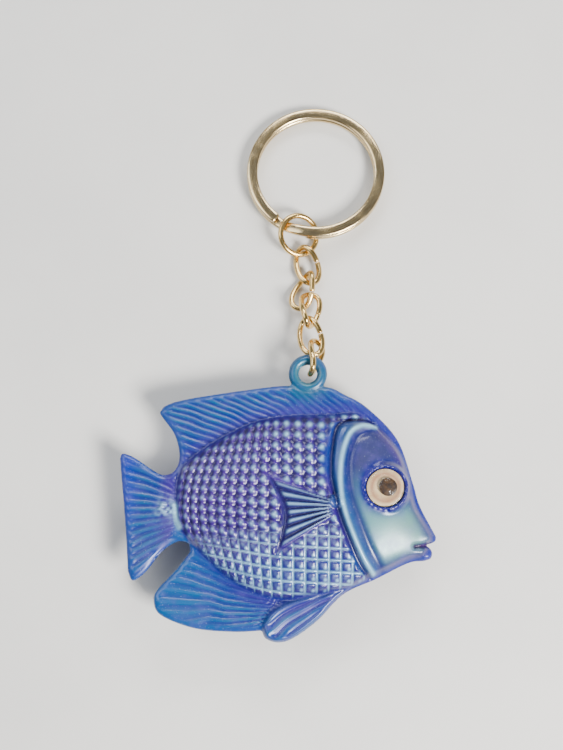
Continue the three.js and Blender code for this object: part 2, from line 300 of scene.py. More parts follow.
def fish_plastic():
    """Pearl paint over translucent blue plastic. Tint, painted highlights and painted shade come with the
    mesh.
    """
    m = Nodes("pearl_blue_plastic")
    tint = m.attribute("tint").outputs["Color"]
    painted_light = m.add("ShaderNodeSeparateColor", Color=m.attribute("painted_light").outputs["Color"])
    painted_highlight, painted_shade = painted_light.outputs["Red"], painted_light.outputs["Green"]
    clouds = m.noise(260, 4, 0.6)
    grain = m.noise(2400, 3, 0.6)
    deep = m.blend(m.ramp(clouds, 0.3, 0.72, 0.0, 0.22), tint, rgba(20, 36, 130))
    deep = m.blend(m.ramp(m.noise(520, 3, 0.6), 0.46, 0.76, 0.0, 0.12), deep, rgba(110, 80, 190))
    gleam = m.math("MULTIPLY", painted_highlight, m.ramp(clouds, 0.25, 0.6, 0.62, 1.0))
    # Painted highlight: pale cyan-white laid where the mesh marks the spots that would catch the light
    with_painted_highlights = m.blend(gleam, deep, rgba(164, 226, 250))
    # Painted shade: dark violet laid in the pits, grooves and creases
    with_painted_shade = m.blend(m.math("MULTIPLY", painted_shade, 0.92), with_painted_highlights, rgba(20, 10, 66))
    sparkle = m.ramp(m.noise(5200, 2, 0.5), 0.66, 0.74, 0.0, 0.3)
    final = m.blend(sparkle, with_painted_shade, rgba(190, 215, 245))
    height = m.math("ADD", m.math("MULTIPLY", grain, 0.6), m.math("MULTIPLY", clouds, 0.8))
    return m.finish(
        Base_Color=final,
        Roughness=m.ramp(clouds, 0.3, 0.7, 0.3, 0.44),
        Normal=m.bump(height, 0.22, 0.06),
        Metallic=0.12,
        Coat_Weight=0.3,
        Coat_Roughness=0.22,
        Subsurface_Weight=0.12,
        Subsurface_Scale=0.9 * MM,
        Subsurface_Radius=(0.4, 0.7, 1.0),
    )


def eye_cream():
    m = Nodes("eye_cream_card")
    ring = m.add("ShaderNodeSeparateColor", Color=m.attribute("painted_light").outputs["Color"]).outputs["Red"]
    tone = m.blend(m.ramp(m.noise(900, 4, 0.6), 0.35, 0.7), rgba(240, 218, 170), rgba(216, 186, 132))
    # Painted shade: a brown ring on the card where the clear cap's edge stands
    tone = m.blend(m.math("MULTIPLY", ring, 0.8), tone, rgba(150, 92, 70))
    return m.finish(Base_Color=tone, Roughness=0.4, Coat_Weight=0.8, Coat_Roughness=0.08,
                    Normal=m.bump(m.noise(3000), 0.1, 0.03))


def eye_dark():
    m = Nodes("eye_dark_plastic")
    tone = m.blend(m.ramp(m.noise(1300, 4, 0.6), 0.4, 0.7), rgba(40, 26, 16), rgba(84, 60, 34))
    return m.finish(Base_Color=tone, Roughness=m.ramp(m.noise(1800), 0.3, 0.7, 0.22, 0.36),
                    Normal=m.bump(m.noise(2200), 0.15, 0.04), Coat_Weight=1.0, Coat_Roughness=0.05)


def eye_clear():
    m = Nodes("eye_clear_plastic")
    smear = m.noise(700, 4, 0.6)
    return m.finish(
        Base_Color=m.blend(m.ramp(smear, 0.4, 0.7), rgba(96, 98, 102), rgba(70, 72, 78)),
        Roughness=m.ramp(smear, 0.35, 0.75, 0.04, 0.12),
        Alpha=0.05,
        Specular_IOR_Level=1.0,
        Normal=m.bump(smear, 0.05, 0.02),
    )


def floor_paint():
    m = Nodes("pale_floor")
    tone = m.blend(m.ramp(m.noise(14, 5, 0.6), 0.35, 0.7), rgba(222, 221, 218), rgba(214, 213, 211))
    return m.finish(Base_Color=tone, Roughness=0.7, Normal=m.bump(m.noise(700), 0.05, 0.05))


# ---------------------------------------------------------------- key ring, jump ring and chain

KEY_RING_RADIUS = 12.5
KEY_WIRE = (1.93, 0.98)
LAYER_PITCH = 1.02
CROSSOVER = (232, 261)
KEY_RING_TURN = (-4, 0, 0)

WIRE_RADIUS = 0.5
SEAM_GAP = 0.12
JUMP_RING_RADIUS = 4.0
JUMP_RING_TURN = (8, 22, -8)
LINK_SIZE = (4.8, 7.8)
LINK_TWIST = math.radians(66)
LINK_SQUARENESS = 2.4
LINK_TURNS = [(3, -13, 17), (-15, -36, -24), (-22, 39, -10), (-6, -18, 14), (1, 69, -33)]


def turned(points, degrees):
    """Points turned about X, then Y, then Z of the piece's own axes."""
    about_x, about_y, about_z = (
        np.array(Matrix.Rotation(math.radians(angle), 3, axis)) for axis, angle in zip("XYZ", degrees)
    )
    return points @ (about_x @ about_y @ about_z).T


def in_place_of(node, points):
    """Moves points so that their box sits where the CAD node's box is, in metres."""
    low, high = (np.array(corner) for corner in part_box(node))
    middle = (points.min(axis=0) + points.max(axis=0)) / 2
    return (points - middle) * MM + (low + high) / 2


def round_section(radius, sides=20):
    angle = 2 * np.pi * np.arange(sides) / sides
    return radius * np.column_stack([np.cos(angle), np.sin(angle)])


def flat_section(width, thickness, sides=28):
    """Flattened round wire: a superellipse that is squarer across its width than over its thickness."""
    angle = 2 * np.pi * np.arange(sides) / sides
    across = np.sign(np.cos(angle)) * np.abs(np.cos(angle)) ** 0.55
    up = np.sign(np.sin(angle)) * np.abs(np.sin(angle)) ** 0.75
    return np.column_stack([width / 2 * across, thickness / 2 * up])


def radial(angle):
    return np.column_stack([np.cos(angle), np.sin(angle), np.zeros_like(angle)])


def key_ring_shape():
    degrees = np.linspace(CROSSOVER[1], CROSSOVER[0] + 720, 420)
    out = radial(np.radians(degrees))
    layer = smoothstep(CROSSOVER[0] + 360, CROSSOVER[1] + 360, degrees) - 0.5
    path = out * (KEY_RING_RADIUS - KEY_WIRE[0] / 2) + np.outer(layer * LAYER_PITCH, (0, 0, 1))
    return sweep(path, out, flat_section(*KEY_WIRE))


def jump_ring_shape():
    radius = JUMP_RING_RADIUS - WIRE_RADIUS
    half_seam = SEAM_GAP / 2 / radius
    out = radial(np.linspace(half_seam, 2 * math.pi - half_seam, 160))
    return sweep(out * radius, out, round_section(WIRE_RADIUS))


def link_shape():
    half_width, half_length = LINK_SIZE[0] / 2 - WIRE_RADIUS, LINK_SIZE[1] / 2 - WIRE_RADIUS
    half_seam = (SEAM_GAP / 2 / half_length) ** (LINK_SQUARENESS / 2)
    fine = np.linspace(half_seam, 2 * math.pi - half_seam, 4000)
    power = 2 / LINK_SQUARENESS
    across = half_width * np.sign(np.cos(fine)) * np.abs(np.cos(fine)) ** power
    along = np.sign(np.sin(fine)) * np.abs(np.sin(fine)) ** power
    twist = LINK_TWIST / 2 * along
    path = np.column_stack([across * np.cos(twist), half_length * along, across * np.sin(twist)])
    travel = np.append(0, np.cumsum(np.linalg.norm(np.diff(path, axis=0), axis=1)))
    even = np.linspace(0, travel[-1], 150)
    path = np.column_stack([np.interp(even, travel, path[:, axis]) for axis in range(3)])
    return sweep(path, path / np.linalg.norm(path, axis=1)[:, None], round_section(WIRE_RADIUS))


def build_metal():
    ring_metal = metal("polished_key_ring", (240, 222, 182), (200, 172, 120), 0.15)
    chain_metal = metal("pale_gold_chain", (240, 212, 150), (204, 166, 98), 0.16)
    jobs = [
        ("split_key_ring", "key_ring", "key_ring_steel", key_ring_shape(), KEY_RING_TURN, ring_metal),
        ("jump_ring", "jump_ring", "chain_metal", jump_ring_shape(), JUMP_RING_TURN, chain_metal),
    ]
    for number, turn in enumerate(LINK_TURNS, 1):
        node, body = f"chain_link_{number}", f"link_{number}"
        jobs.append((node, body, "chain_metal", link_shape(), turn, chain_metal))
    for node, body, slot, (points, faces, wire), turn, material in jobs:
        placed = in_place_of(node, turned(points, turn))
        piece = mesh_object(f"{node}_wire", placed, faces, material, {"wire": wire})
        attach(piece, body)
        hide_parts(node)


# ---------------------------------------------------------------- fish: plan view

EYE_CENTRE = np.array([15.7, 1.9])
SOCKET_RADIUS = 3.17
SOCKET_FLOOR = 3.58
LOOP_CENTRE = np.array([3.1, 21.5])
LOOP_RADII = (1.6, 3.3)
LOOP_HALF_THICKNESS = 1.0
HALF_THICKNESS = 6.2
CELL = 0.19
GRID_X, GRID_Y = (-29.6, 25.3), (-24.2, 25.6)
SNAP_REACH = 0.55 * CELL
EDGE_HEIGHT, EDGE_WIDTH = 0.4, 0.75
LOWEST, TOP_MARGIN = 0.2, 0.03

# How strong and how dark the paint is next to the screen colours listed for each region
SATURATION = 1.4
PAINT_LEVEL = 0.29


def fish_outline():
    """The whole fish seen from its right side, without the hanging loop."""
    tail_top = spline([(-28.75, 6.9), (-28.5, 7.7), (-27.7, 7.7), (-26.0, 6.9), (-23.5, 5.2), (-21.5, 4.2),
                       (-19.6, 4.8), (-18.7, 7.3), (-19.6, 11.0), (-21.9, 14.2), (-22.1, 14.9)])
    back = spline([(-22.1, 14.9), (-21.1, 16.0), (-17.0, 17.2), (-5.7, 18.9), (-0.4, 19.4), (6.2, 19.2),
                   (9.3, 17.9), (13.2, 15.6), (18.2, 10.2), (20.7, 2.9), (21.8, -1.0), (24.4, -6.1)])
    lips = np.vstack([
        spline([(24.4, -6.1), (24.3, -6.8), (23.6, -7.2), (22.5, -7.5)], 6),
        spline([(22.5, -7.5), (23.3, -8.0), (23.7, -8.8), (23.4, -9.7), (22.4, -10.1)], 6),
    ])
    belly = spline([(22.4, -10.1), (19.6, -10.5), (14.2, -13.1), (8.9, -15.5), (4.6, -19.7), (0.7, -22.5),
                    (-1.9, -23.3), (-4.0, -22.7), (-4.7, -21.4)])
    anal = spline([(-4.7, -21.4), (-9.4, -21.6), (-15.9, -21.0), (-21.4, -18.9), (-22.6, -16.5),
                   (-21.9, -14.6), (-19.0, -11.6), (-16.7, -8.6)])
    tail_low = spline([(-16.7, -8.6), (-17.0, -7.2), (-18.9, -6.9), (-21.5, -8.6), (-24.0, -11.8),
                       (-26.1, -13.3), (-27.0, -11.8)])
    rear = spline([(-27.0, -11.8), (-27.4, -6.5), (-27.9, -1.2), (-28.5, 4.2), (-28.75, 6.9)])
    return np.vstack([part[:-1] for part in (tail_top, back, lips, belly, anal, tail_low, rear)])


def body_outline():
    """Where the thick body swells up out of the fins."""
    ring = [(-19.5, -1), (-18.8, 4.9), (-15.8, 8), (-11, 11), (-5.7, 13.4), (0, 14.4), (7.4, 14.6),
            (11.5, 14.9), (15.5, 12.2), (18.6, 8.5), (20.2, 4), (21.3, -0.8), (23.6, -5), (24, -6.8),
            (22.5, -9.5), (19.5, -10.3), (14, -12.9), (9, -15), (3.6, -16), (-0.9, -16.6), (-5.6, -15.7),
            (-10.7, -12.9), (-15.9, -8.1), (-18.9, -4.5), (-19.5, -1)]
    return spline(ring)[:-1]


GILL_GROOVE = spline([(14.2, 13.2), (11.6, 13.4), (8.2, 12.4), (7.0, 8.4), (6.7, 4.2), (7.3, 0.8),
                      (8.2, -2.9), (9.7, -6.7), (11.4, -10.5), (13.3, -13.0)])
GILL_RIDGE = spline([(14.4, 12.1), (12.0, 12.3), (9.9, 10.9), (8.6, 7.4), (8.2, 3.2), (8.7, -1.2),
                     (10.3, -5.9), (12.0, -9.6), (13.7, -12.3)])
FACE_CREASE = spline([(14.0, 11.6), (11.4, 10.4), (9.9, 7.6), (9.6, 4.0), (10.2, 0.2), (11.6, -4.0),
                      (13.2, -8.0), (15.2, -11.6)])
FAN_PIVOT = np.array([9.6, -1.1])
FAN_KNOB = np.array([7.4, -0.3])
MOUTH_SLOT = spline([(20.7, -7.7), (21.8, -7.6), (23.4, -7.5)])
PELVIC_FIN = spline([(9.8, -14.5), (4.4, -15.4), (0.2, -16.2), (-2.9, -18.0), (-4.5, -20.8), (-4.0, -22.8),
                     (-1.9, -23.4), (0.7, -22.6), (4.6, -19.8), (9.8, -14.5)])[:-1]
GATE_MARK = np.array([-20.8, -1.6])
TAIL_ARC = spline([(-19.4, -0.9), (-19.2, -2.4), (-18.9, -3.6), (-18.5, -4.5)])
UPPER_LIP, LOWER_LIP = (22.9, -6.1), (22.1, -9.1)

# How high or deep each detail of the relief is, in millimetres
FIN_HEIGHT, FIN_RIDGE, FIN_RIM = 0.66, 0.36, 0.16
BODY_SWELL, BODY_ROUNDNESS = 5.0, 1.35
PELVIC_LIFT, PELVIC_RIM, PELVIC_HOLLOW = 0.5, 0.2, 0.1
SCALE_HEIGHT, SCALE_VALLEY = 0.48, 0.16
FAN_HEIGHT, FAN_RAY_HEIGHT, FAN_EDGE_DEPTH = 0.2, 0.75, 0.34
GILL_RIDGE_HEIGHT, GILL_GROOVE_DEPTH, CREASE_DEPTH = 0.5, 0.8, 0.3
KNOB_HEIGHT, BROW_HEIGHT, LIP_HEIGHT, MOUTH_DEPTH = 0.85, 0.35, 0.4, 1.0
EYE_LAND_HEIGHT, EYE_RIM_HEIGHT, EYE_RIM_RIPPLE, EYE_RIM_GRAIN = 4.55, 0.16, 0.06, 0.3
GATE_RING_HEIGHT, GATE_BLOB_HEIGHT, TAIL_ARC_HEIGHT = 0.25, 0.7, 0.4

# Sizes of those details in plan: millimetres, degrees and counts
KNOB_RADIUS = 1.15
GATE_RADIUS = 1.05
EYE_RIM_RADIUS, EYE_RIM_WIDTH, EYE_RIM_RIPPLES = 3.55, 0.34, 26
FAN_MIDDLE_DEG, FAN_HALF_DEG, FAN_WAVES = 186, 24, 6
FAN_REACH, FAN_REACH_GAIN = 9.9, 2.7

# Columns of scales lie SCALE_PITCH_TAIL apart at SCALE_START. They open out by SCALE_PITCH_GAIN over the
# next SCALE_GROWTH, as far as SCALE_STEADY, and stay SCALE_PITCH_BODY apart ahead of it.
SCALE_START, SCALE_GROWTH, SCALE_STEADY = -19.4, 16.4, -3.0
SCALE_PITCH_TAIL, SCALE_PITCH_GAIN, SCALE_PITCH_BODY, SCALE_PITCH_MIN = 1.3, 0.65, 1.95, 1.2


def inflate(region):
    """A membrane blown up inside a region: 0 on its rim and 1 at its highest."""
    level = None
    for stride in (8, 4, 2, 1):
        sub = region[::stride, ::stride]
        if level is None:
            level = np.zeros(sub.shape)
        else:
            level = np.repeat(np.repeat(level, 2, 0), 2, 1)[: sub.shape[0], : sub.shape[1]]
            level = np.pad(level, [(0, n - m) for n, m in zip(sub.shape, level.shape)], mode="edge")
        for _ in range(260):
            around = np.zeros(sub.shape)
            around[1:-1, 1:-1] = level[:-2, 1:-1] + level[2:, 1:-1] + level[1:-1, :-2] + level[1:-1, 2:]
            level = np.where(sub, (around + stride**2) / 4, 0)
    return level / level.max()


def polar(x, y, centre):
    return np.hypot(x - centre[0], y - centre[1]), np.degrees(np.arctan2(y - centre[1], x - centre[0])) % 360


def uneven(x, y):
    """A slow drift that keeps moulded ridges from looking machine-ruled."""
    return smooth_noise(x, y, 3.4, 5) - 0.5


def fan_ridges(x, y, pivot, pitch_deg, start_deg=180):
    """Rounded ridges that spread from a pivot: 1 on a ridge, 0 in the valley between two."""
    phase = (polar(x, y, pivot)[1] - start_deg) / pitch_deg + 0.5 * uneven(x, y)
    return 0.5 + 0.4 * np.cos(2 * np.pi * phase) + 0.1 * np.cos(5 * np.pi * phase)


def dorsal_ridges(x, y, pitch=1.15):
    """Ridges of the back fin: lines that slope down to the front, more steeply the nearer the head."""
    forward = x + 15
    phase = (y + 0.3 * forward + 0.012 * forward * np.abs(forward)) / pitch + 0.9 * uneven(x, y)
    return 0.5 + 0.38 * np.cos(2 * np.pi * phase) + 0.12 * np.cos(5 * np.pi * phase)


def scale_cells(x, y):
    """Place in a scale's cell, each from -1 to 1: columns close up towards the tail and bow round it."""
    near_tail = smoothstep(0, -19, x)
    bowed = x - 0.03 * near_tail * (y + 1) ** 2
    pitch = SCALE_PITCH_TAIL + SCALE_PITCH_GAIN * (bowed - SCALE_START) / SCALE_GROWTH
    pitch = np.clip(pitch, SCALE_PITCH_MIN, SCALE_PITCH_BODY)
    behind = SCALE_GROWTH / SCALE_PITCH_GAIN * np.log(pitch / SCALE_PITCH_TAIL)
    column = behind + np.maximum(bowed - SCALE_STEADY, 0) / SCALE_PITCH_BODY
    row = (y + 0.06 * (x - 2)) / mix(1.92, 1.6, near_tail)
    return 2 * (column % 1) - 1, 2 * (row % 1) - 1


def washed(base, washes):
    """Lays thin colours over a base, in order: screen colours, each with a weight for every point.

    The base is one screen colour, or the light values for every point that an earlier call gave.
    """
    tint = base if isinstance(base, np.ndarray) else linear(*base)
    for colour, weight in washes:
        tint = mix(tint, linear(*colour), np.clip(weight, 0, 1)[:, :, None])
    return tint


def relief():
    """The fish's right half over a grid in plan: its points, the mask of what is fish, its tint and its
    painted light.
    """
    x, y = np.meshgrid(np.arange(*GRID_X, CELL), np.arange(*GRID_Y, CELL))
    outline = fish_outline()
    depth = depth_inside(outline, x, y)
    loop_range = polar(x, y, LOOP_CENTRE)[0]
    depth = np.minimum(np.maximum(depth, LOOP_RADII[1] - loop_range), loop_range - LOOP_RADII[0])

    # Grid points near the outline move onto it, and those near the eye's socket onto its circle
    slope_y, slope_x = np.gradient(depth, CELL)
    snap = np.abs(depth) < SNAP_REACH
    x = np.where(snap, x - depth * slope_x, x)
    y = np.where(snap, y - depth * slope_y, y)
    eye_range = polar(x, y, EYE_CENTRE)[0]
    snap_eye = np.abs(eye_range - SOCKET_RADIUS) < 0.5 * CELL
    pull = np.where(snap_eye, SOCKET_RADIUS / np.maximum(eye_range, 1e-6), 1)
    x = EYE_CENTRE[0] + (x - EYE_CENTRE[0]) * pull
    y = EYE_CENTRE[1] + (y - EYE_CENTRE[1]) * pull
    eye_range, eye_angle = polar(x, y, EYE_CENTRE)
    solid = depth > -SNAP_REACH
    depth = np.where(snap, 0, depth)

    # Masks of the regions
    body_depth = depth_inside(body_outline(), x, y)
    in_body = smoothstep(-0.3, 0.9, body_depth)
    gill_gap = distance_to(GILL_GROOVE, x, y)
    groove_x = np.interp(y, GILL_GROOVE[::-1, 1], GILL_GROOVE[::-1, 0])
    face = smoothstep(-0.3, 0.3, x - groove_x) * (y < 13.6) * in_body
    tail = smoothstep(-18.4, -19.8, x + 0.03 * (y + 1) ** 2) * (y < 9) * (y > -14)
    back_fin = (1 - in_body) * (1 - tail) * smoothstep(4, 6, y)
    leaf_depth = depth_inside(PELVIC_FIN, x, y)
    pelvic = smoothstep(-0.5, 0.5, leaf_depth)
    anal = (1 - in_body) * (1 - tail) * (1 - pelvic) * (y < -4)
    loop = smoothstep(0.1, -0.3, loop_range - LOOP_RADII[1])

    # Heights: flat fins with ridges, then the swelling body and its details
    ridges = (
        back_fin * dorsal_ridges(x, y)
        + tail * fan_ridges(x, y, (-12, -1.5), 5.2)
        + anal * fan_ridges(x, y, (4, -18.5), 4.2)
        + pelvic * fan_ridges(x, y, (14, -11), 5.4, 200)
    )
    fade = smoothstep(0.3, 1.4, depth)
    fins = FIN_HEIGHT + FIN_RIDGE * ridges * fade + FIN_RIM * bump(depth - 0.7, 0.5)
    swelling = np.sqrt(1 - (1 - inflate((body_depth > 0) & solid)) ** BODY_ROUNDNESS)
    swelling = swelling * smoothstep(-0.2, 1.1, body_depth)
    height = fins * (1 - 0.6 * in_body) + BODY_SWELL * swelling
    height += (
        PELVIC_LIFT * pelvic
        + PELVIC_RIM * bump(leaf_depth - 0.7, 0.45)
        - PELVIC_HOLLOW * bump(leaf_depth + 0.6, 0.6)
    )
    bead_zone = smoothstep(0.2, 1.1, body_depth) * smoothstep(-0.5, -1.0, x - groove_x) * (1 - face)
    bead_zone *= 1 - bump(np.maximum(groove_x - x - 0.4, 0), 1.0) * smoothstep(0, 3, y)

    # Pectoral fin: a fan of ridges spreading back from its knob
    fan_range, fan_angle = polar(x, y, FAN_PIVOT)
    spread = (fan_angle - FAN_MIDDLE_DEG) / FAN_HALF_DEG
    fan_reach = FAN_REACH + FAN_REACH_GAIN * spread**2
    within = smoothstep(2.6, 3.6, fan_range)
    fan = smoothstep(1.06, 0.94, np.abs(spread)) * smoothstep(0.3, -0.25, fan_range - fan_reach) * within
    fan_ray = (0.5 + 0.5 * np.cos(np.pi * FAN_WAVES * spread)) ** 0.8
    fan_edge = bump(fan_range - fan_reach - 0.7, 0.45) * smoothstep(1.2, 1.0, np.abs(spread))
    around_fan = smoothstep(1.26, 1.08, np.abs(spread)) * smoothstep(1.5, 0.9, fan_range - fan_reach)
    knob_range = polar(x, y, FAN_KNOB)[0]
    bead_zone *= (1 - around_fan) * (1 - pelvic)

    # Scales: rounded squares in rows and columns, running into upright ribs near the tail
    u, v = scale_cells(x, y)
    square = (1 - u**4) * (1 - v**4)
    round_bead = np.exp(-((u**2 + v**2) / 0.55))
    low = smoothstep(-3.0, -8.0, y - 0.12 * x)
    rib = smoothstep(-12.5, -17.5, x)
    bead = mix(mix(round_bead, square, low), mix(1 - u**2, round_bead, 0.45), rib)
    grid_line = np.maximum(bump(np.abs(u) - 1, 0.15), bump(np.abs(v) - 1, 0.15))
    pit = np.clip(1.8 * bump(np.abs(u) - 1, 0.5) * bump(np.abs(v) - 1, 0.62), 0, 1)
    height += bead_zone * (SCALE_HEIGHT * (bead - 0.4) - SCALE_VALLEY * (1 - low) * (1 + pit))

    height += fan * (FAN_HEIGHT + FAN_RAY_HEIGHT * fan_ray) - FAN_EDGE_DEPTH * fan_edge

    # Gill cover: a cut groove, a bright rolled ridge in front of it and a softer crease
    ridge_gap = distance_to(GILL_RIDGE, x, y)
    crease_gap = distance_to(FACE_CREASE, x, y)
    height += in_body * (
        GILL_RIDGE_HEIGHT * bump(ridge_gap, 0.6)
        - GILL_GROOVE_DEPTH * bump(gill_gap, 0.42)
        - CREASE_DEPTH * bump(crease_gap, 0.6)
    )
    height += KNOB_HEIGHT * np.sqrt(np.clip(1 - (knob_range / KNOB_RADIUS) ** 2, 0, 1))

    # Head: brow above the eye, rolled lips and a raised rough rim round the eye
    height += face * (BROW_HEIGHT * smoothstep(4.5, 9.5, y) * smoothstep(0.5, 3, body_depth))
    mouth = bump(distance_to(MOUTH_SLOT, x, y), 0.42)
    upper_lip, lower_lip = bump(polar(x, y, UPPER_LIP)[0], 1.0), bump(polar(x, y, LOWER_LIP)[0], 0.9)
    height += LIP_HEIGHT * upper_lip + LIP_HEIGHT * lower_lip
    height -= MOUTH_DEPTH * mouth
    ripple = EYE_RIM_RIPPLE * np.sin(np.radians(eye_angle * EYE_RIM_RIPPLES))
    rough = ripple + EYE_RIM_GRAIN * (smooth_noise(x, y, 0.5, 3) - 0.5)
    eye_rim = bump(eye_range - EYE_RIM_RADIUS, EYE_RIM_WIDTH)
    height = mix(height, np.maximum(height, EYE_LAND_HEIGHT), smoothstep(4.6, 3.5, eye_range))
    height += eye_rim * (EYE_RIM_HEIGHT + rough)
    height = np.where(eye_range < SOCKET_RADIUS + 0.02, SOCKET_FLOOR, height)

    # Gate mark and the short bright arc where the tail joins
    gate_range = polar(x, y, GATE_MARK)[0]
    gate = bump(gate_range - GATE_RADIUS, 0.28)
    speckle = smooth_noise(x, y, 0.5, 7)
    tail_arc = bump(distance_to(TAIL_ARC, x, y), 0.42)
    height += (
        GATE_RING_HEIGHT * gate * speckle
        + TAIL_ARC_HEIGHT * tail_arc
        + GATE_BLOB_HEIGHT * bump(gate_range, 1.3) * (speckle - 0.3)
    )

    # Hanging loop: a round ring with an oval section
    across = (loop_range - np.mean(LOOP_RADII)) / (LOOP_RADII[1] - LOOP_RADII[0]) * 2
    ring = LOOP_HALF_THICKNESS * np.sqrt(np.clip(1 - across**2, 0, 1))
    height = mix(height, np.maximum(ring, 0.25), loop)

    soft_edge = np.sqrt(1 - (1 - np.clip(depth / EDGE_WIDTH, 0, 1)) ** 2)
    height = mix(EDGE_HEIGHT, height, np.where(loop > 0.5, smoothstep(0, 0.25, depth), soft_edge))
    height = np.clip(height, LOWEST, HALF_THICKNESS - TOP_MARGIN)

    # Tint: the fins, the body and the face, each as washes over a base colour
    cloud = smooth_noise(x, y, 3.2, 11)
    tint = washed((52, 108, 204), [
        ((28, 132, 226), smoothstep(1.8, 0.2, depth) * 0.8),
        # Painted highlight along the fin ridges and painted shade in the valleys between them
        ((96, 190, 232), (0.3 + 0.5 * cloud) * ridges**1.5 * fade * (1 - in_body)),
        ((30, 56, 168), 0.6 * (1 - ridges) * fade * (1 - in_body)),
        ((112, 92, 208), 0.7 * (1 - in_body) * smoothstep(-3.4, -0.4, body_depth)),
        ((0, 112, 240), tail * smoothstep(-24.5, -27.5, x) * smoothstep(-9, 1, y) * 0.85),
        ((44, 160, 232), 0.75 * anal * smoothstep(-6, -20, x) * mix(0.5, 1, ridges)),
        ((118, 92, 200), 0.7 * tail * smoothstep(-24.5, -20, x)),
        ((106, 92, 198), 0.7 * pelvic * (1 - ridges)),
        ((120, 150, 214), 0.6 * pelvic * bump(leaf_depth - 0.5, 0.4)),
        ((34, 146, 184), np.maximum(loop, bump(loop_range - 3.2, 1.4)) * 0.9),
        # Painted highlight: a pale ring on the loop's sloping inner edge
        ((150, 200, 214), 0.7 * loop * bump(loop_range - 1.95, 0.35)),
    ])
    body_tint = washed((98, 72, 180), [
        ((138, 58, 208), smoothstep(4, -12, x - 0.4 * y) * smoothstep(-12, 0, y)),
        ((72, 124, 214), smoothstep(-7, -12, y - 0.1 * x)),
        ((66, 104, 204), smoothstep(3.4, 5.4, x) * smoothstep(2, 6, y) * (1 - face)),
        ((108, 74, 196), 0.7 * smoothstep(2.2, 0.2, body_depth)),
        # Painted shade: darker where the body rounds over towards its edge
        ((74, 44, 150), 0.6 * smoothstep(3.4, 0.3, body_depth)),
        ((84, 50, 160), 0.8 * bead_zone * low * square),
        ((118, 66, 206), 0.7 * bead_zone * (1 - low) * (1 - round_bead)),
    ])
    face_tint = washed((166, 228, 236), [
        ((98, 94, 158), smoothstep(-1.5, 5.5, y + 0.12 * (x - 14)) * 0.95),
        ((206, 250, 244), 0.8 * bump(np.hypot(x - 19.6, (y + 5.2) * 1.3), 4.2)),
        ((88, 46, 156), 0.95 * smoothstep(2.6, 0.3, body_depth)),
        ((84, 128, 208), 0.9 * smoothstep(3.6, 2.0, x - groove_x)),
        # Painted shade in the crease across the face
        ((56, 70, 168), 0.85 * bump(crease_gap, 0.9)),
        ((26, 44, 168), bump(eye_range - 3.5, 0.6) + 0.5 * bump(eye_range - 4.2, 0.8)),
        ((92, 34, 112), mouth),
    ])
    body_tint = mix(body_tint, face_tint, face[:, :, None])
    tint = washed(mix(tint, body_tint, in_body[:, :, None]), [
        # Painted highlight on the pectoral fin's rays, painted shade between them and a painted shadow along
        # its rear edge
        ((124, 134, 204), fan * fan_ray * 0.85),
        ((46, 36, 128), fan * (1 - fan_ray) * 0.9 + 0.9 * fan_edge),
        ((96, 130, 210), smoothstep(1.3, 0.9, knob_range)),
    ])

    # Painted light: painted highlights where beads, ridges, rays and the gate mark would catch the light;
    # painted shade in the hollows
    bead_highlight = bump(np.hypot(u + 0.15, v - 0.1), 0.44) * mix(0.95, 0.1, low)
    bead_highlight = bead_highlight * mix(0.45, 1, smoothstep(-12, 2, x))
    painted_highlight = bead_zone * np.maximum(bead_highlight, grid_line * low * 0.7)
    painted_highlight = np.maximum(painted_highlight, bead_zone * low * 0.8 * bump(np.hypot(u - 0.4, v + 0.35), 0.26))
    painted_highlight = np.maximum(painted_highlight, 0.7 * bump(ridge_gap, 0.36) * in_body)
    painted_highlight = np.maximum(painted_highlight, np.maximum(0.85 * tail_arc, bump(gate_range, 1.5) * speckle**2 * 1.3))
    painted_highlight = np.maximum(painted_highlight, 0.4 * fan * fan_ray**3)
    # Painted shade: darker in the pits between scales, the gill groove and crease, between the fin's rays and
    # along the pelvic fin's edge
    painted_shade = bead_zone * pit * mix(1.0, 0.1, low)
    gill_shade = np.maximum(0.85 * bump(gill_gap, 0.45), 0.35 * bump(crease_gap, 0.6))
    painted_shade = np.maximum(painted_shade, in_body * gill_shade)
    painted_shade = np.maximum(painted_shade, fan * (1 - fan_ray) * 0.6)
    painted_shade = np.maximum(painted_shade, 0.12 * bump(leaf_depth + 0.4, 0.6) * (y < -14))
    blank = np.zeros_like(painted_highlight)
    painted_light = np.dstack([np.clip(painted_highlight, 0, 1), np.clip(painted_shade, 0, 1), blank, blank + 1])
    grey = tint.mean(axis=2, keepdims=True)
    deep = np.clip(grey + (tint - grey) * SATURATION, 0.004, 1) * PAINT_LEVEL
    tint = np.dstack([deep, blank + 1])
    return np.dstack([x, y, height]), solid, tint, painted_light


def half_mesh(points, solid, side):
    """Closes the relief down to the middle plane. side is 1 for the right half and -1 for the left."""
    number = np.full(solid.shape, -1)
    number[solid] = np.arange(solid.sum())
    a, b, c, d = number[:-1, :-1], number[:-1, 1:], number[1:, 1:], number[1:, :-1]
    corners = np.stack([a, b, c, d], axis=-1).reshape(-1, 4)
    present = (corners >= 0).sum(axis=1)
    faces = [list(q) for q in corners[present == 4]]
    faces += [[v for v in q if v >= 0] for q in corners[present == 3]]
    count = int(solid.sum())
    edges = set()
    for face in faces:
        edges.update(zip(face, face[1:] + face[:1]))
    rim = [(i, j) for i, j in edges if (j, i) not in edges]
    top = points[solid] * (1, 1, side)
    bottom = top * (1, 1, 0)
    walls = [[j, i, i + count, j + count] for i, j in sorted(rim)]
    floor = [[v + count for v in reversed(face)] for face in faces]
    faces = faces + walls + floor
    if side < 0:
        faces = [face[::-1] for face in faces]
    return np.vstack([top, bottom]), faces


